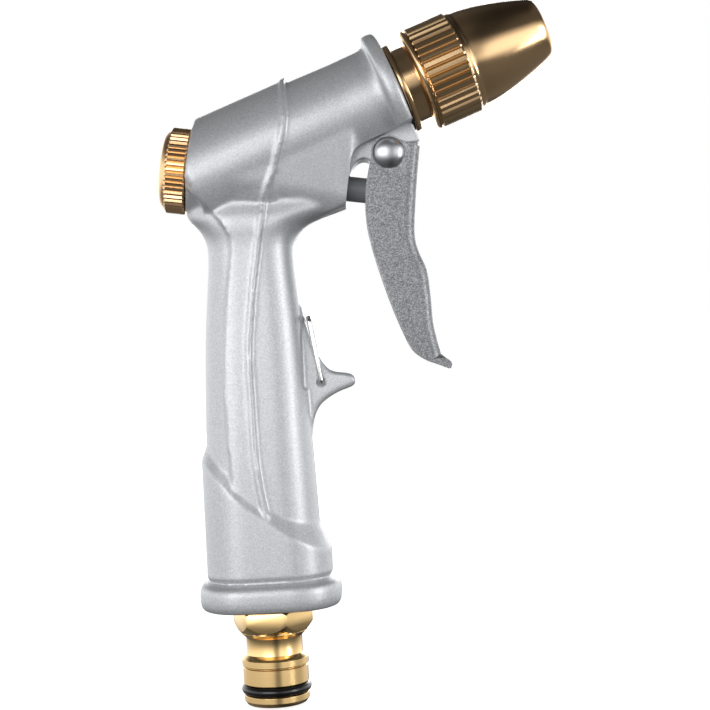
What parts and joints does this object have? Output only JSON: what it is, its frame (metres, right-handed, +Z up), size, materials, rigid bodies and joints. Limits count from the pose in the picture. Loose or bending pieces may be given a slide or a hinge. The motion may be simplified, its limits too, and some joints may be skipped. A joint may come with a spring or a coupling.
{
  "type": "hose spray nozzle",
  "caption": "Pistol-grip hose spray nozzle with a cast body, brass quick-connect inlet, front trigger with latch bail, rear flow knob and brass twist nozzle.",
  "frame": {"origin": "centre of the inlet plug's lower end face, on the inlet's axis", "axes": "+Z up the inlet's axis into the grip; +X toward the nozzle's and trigger's side; +Y completes the frame, along the trigger's pivot; the object is mirrored about the plane y = 0"},
  "size_m": [0.0984, 0.0306, 0.1685],
  "materials": {
    "body_paint": "satin silver sparkle paint on zinc casting",
    "trigger_paint": "coarser silver sparkle paint on zinc casting",
    "polished_brass": "turned and polished",
    "inlet_brass": "turned, lacquered",
    "inner_brass": "turned",
    "steel": "polished stainless",
    "rod_plastic": "moulded acetal",
    "rubber": "greased black rubber"
  },
  "bodies": {
    "body": {"body_casting": "body_paint", "inlet_connector": "inlet_brass", "inlet_o_ring": "rubber", "inlet_gasket": "rubber", "barrel_stem": "inner_brass", "stem_gasket": "rubber", "diffuser_pin": "inner_brass", "valve_seat": "inner_brass", "seat_gasket": "rubber", "gland_bush": "inner_brass", "gland_seal": "rubber", "rear_plug": "inner_brass", "plug_gasket": "rubber", "trigger_rivet": "steel"},
    "nozzle_slider": {"nozzle_seal": "rubber"},
    "nozzle": {"nozzle_sleeve": "polished_brass"},
    "valve": {"pushrod": "rod_plastic", "valve_stem": "steel", "valve_cup": "inner_brass", "valve_washer": "rubber", "valve_nut": "steel", "valve_spring": "steel"},
    "knob_slider": {"knob_seal": "rubber"},
    "knob": {"rear_knob": "polished_brass"},
    "trigger": {"trigger": "trigger_paint"},
    "latch": {"latch_bail": "steel"}
  },
  "joints": [
    {"name": "trigger_squeeze", "type": "hinge", "parent": "body", "child": "trigger", "pos_m": [0.034, 0, 0.1322], "axis": [0, 1, 0], "range_deg": [0, 19.5], "stiffness_Nm_per_rad": 1.2, "springref_deg": -5.73},
    {"name": "valve_travel", "type": "slide", "parent": "body", "child": "valve", "axis": [-0.9877, 0, 0.1564], "range_m": [0, 0.0033], "deforming": ["valve_spring"]},
    {"name": "latch_swing", "type": "hinge", "parent": "body", "child": "latch", "pos_m": [0.0149, 0, 0.0777], "axis": [0, 1, 0], "range_deg": [0, 180]},
    {"name": "nozzle_advance", "type": "slide", "parent": "body", "child": "nozzle_slider", "axis": [0.9345, 0, 0.3559], "range_m": [-0.003, 0.0025]},
    {"name": "nozzle_twist", "type": "hinge", "parent": "nozzle_slider", "child": "nozzle", "pos_m": [0.0475, 0, 0.152], "axis": [0.9345, 0, 0.3559], "range_deg": [-540, 450]},
    {"name": "knob_advance", "type": "slide", "parent": "body", "child": "knob_slider", "axis": [-0.9877, 0, 0.1564], "range_m": [0, 0.0015]},
    {"name": "knob_twist", "type": "hinge", "parent": "knob_slider", "child": "knob", "pos_m": [-0.0185, 0, 0.1313], "axis": [-0.9877, 0, 0.1564], "range_deg": [0, 360]}
  ],
  "couplings": [
    {"joint": "valve_travel", "follows": "trigger_squeeze", "m_per_rad": 0.0091},
    {"joint": "nozzle_twist", "follows": "nozzle_advance", "rad_per_m": 3141.6},
    {"joint": "knob_twist", "follows": "knob_advance", "rad_per_m": 4188.8}
  ]
}
